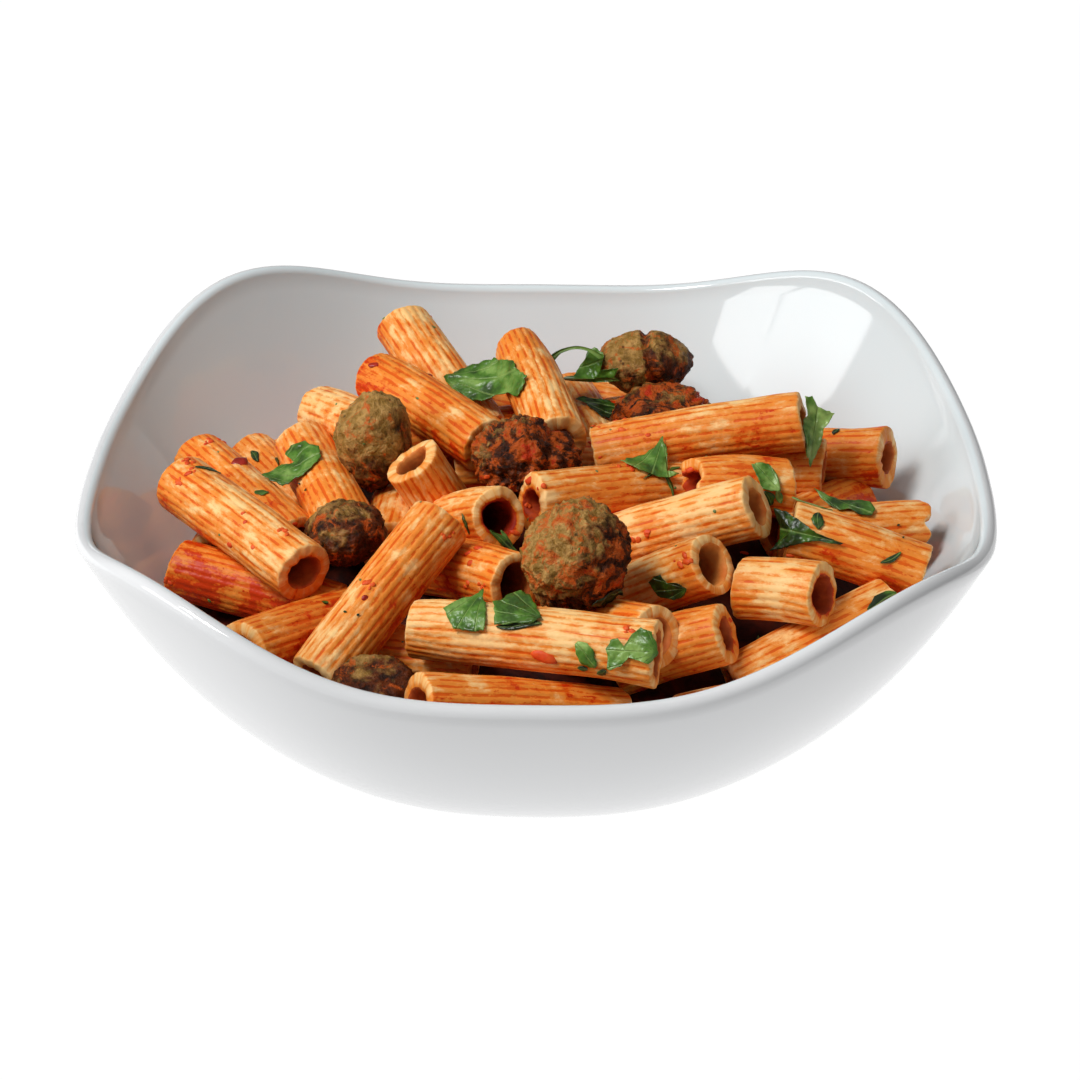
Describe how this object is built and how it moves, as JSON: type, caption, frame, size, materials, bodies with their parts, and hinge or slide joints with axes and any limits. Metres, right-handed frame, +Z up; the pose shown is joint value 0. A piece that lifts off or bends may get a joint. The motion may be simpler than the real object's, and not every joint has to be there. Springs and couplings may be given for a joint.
{
  "type": "dish of pasta",
  "caption": "Squared white bowl filled with short ridged tube pasta in tomato sauce, with meatballs and torn parsley leaves on top.",
  "frame": {"origin": "centre of the bowl's foot, on the surface that it stands on", "axes": "+Z up, -Y towards the front of the pictured view, X to the right; the bowl's raised corners lie on the diagonals"},
  "size_m": [0.24, 0.24, 0.0812],
  "materials": {
    "porcelain": "glossy white glaze",
    "pasta": "cooked pasta, cream coloured and stained orange by the sauce, moist",
    "meatball": "browned minced meat, rough and moist",
    "parsley": "fresh green leaf, faintly waxy"
  },
  "bodies": {
    "root": {"bowl": "porcelain", "pasta": "pasta", "meatball_1": "meatball", "meatball_2": "meatball", "meatball_3": "meatball", "meatball_4": "meatball", "meatball_5": "meatball", "meatball_6": "meatball", "meatball_7": "meatball", "leaf_1": "parsley", "leaf_2": "parsley", "leaf_3": "parsley", "leaf_4": "parsley", "leaf_5": "parsley", "leaf_6": "parsley", "leaf_7": "parsley", "leaf_8": "parsley", "leaf_9": "parsley", "leaf_10": "parsley", "leaf_11": "parsley", "leaf_12": "parsley", "leaf_13": "parsley"}
  },
  "joints": []
}
